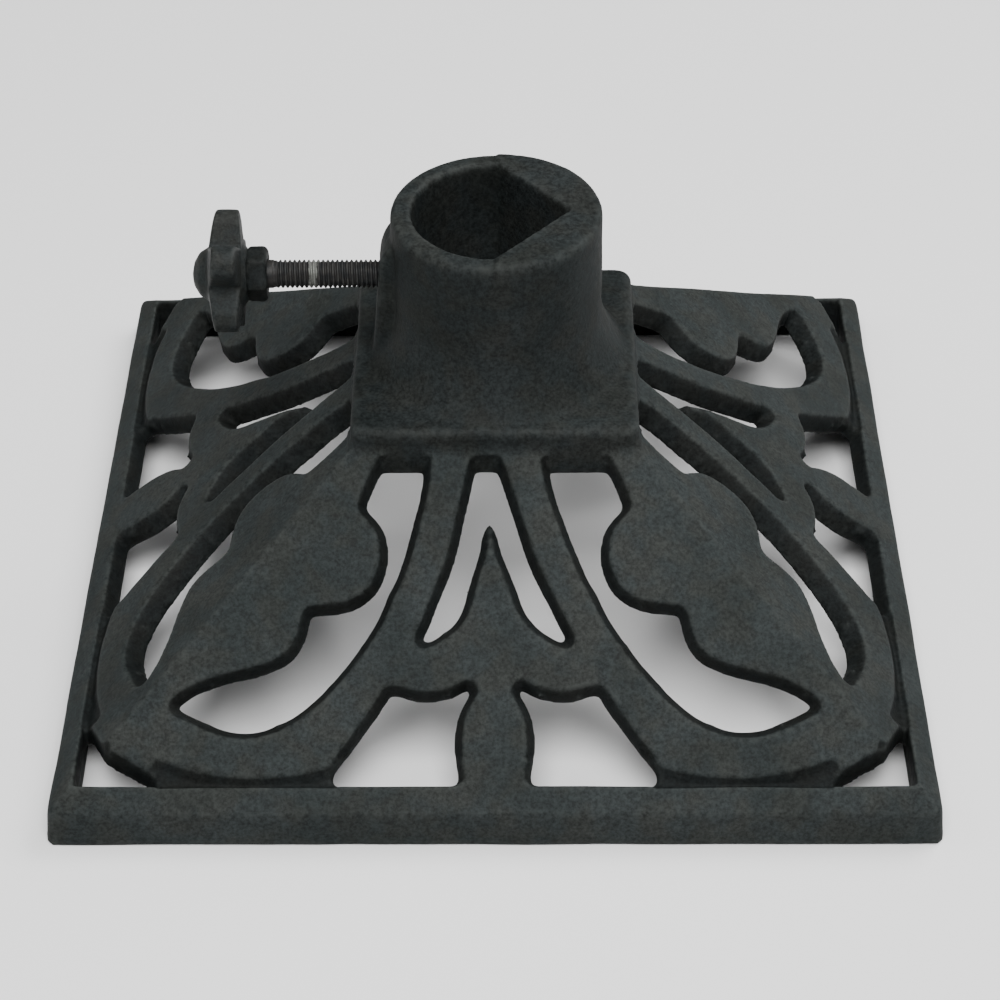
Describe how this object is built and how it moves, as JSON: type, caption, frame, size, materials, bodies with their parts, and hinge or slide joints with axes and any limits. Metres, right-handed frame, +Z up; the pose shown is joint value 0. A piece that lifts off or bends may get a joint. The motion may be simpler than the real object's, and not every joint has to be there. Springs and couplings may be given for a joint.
{
  "type": "flag pole stand",
  "caption": "Square cast-iron flag pole stand with pierced sloping sides of scrolls and leaves, a collar with a V-shaped socket, and a star-knob clamp screw.",
  "frame": {"origin": "on the floor, under the middle of the square base", "axes": "+Z up along the pole socket, +X away from the clamp screw, whose knob stands on the -X side, +Y to the back"},
  "size_m": [0.2886, 0.2886, 0.1482],
  "materials": {
    "painted_casting": "satin black paint over a sand-cast skin",
    "screw_steel": "dark zinc-plated thread, rubbed bright in one place",
    "painted_nut": "black paint over a steel nut",
    "painted_knob": "satin black paint over cast iron"
  },
  "bodies": {
    "base": {"base_casting": "painted_casting"},
    "screw": {"clamp_screw": "screw_steel"},
    "knob": {"star_knob": "painted_knob", "jam_nut": "painted_nut"}
  },
  "joints": [
    {"name": "screw_feed", "type": "slide", "parent": "base", "child": "screw", "axis": [1, 0, 0], "range_m": [-0.00397, 0.03175]},
    {"name": "knob_turn", "type": "hinge", "parent": "screw", "child": "knob", "pos_m": [-0.09, 0, 0.1234], "axis": [1, 0, 0], "range_deg": [-900, 7200]}
  ],
  "couplings": [
    {"joint": "knob_turn", "follows": "screw_feed", "rad_per_m": 3957.9}
  ]
}
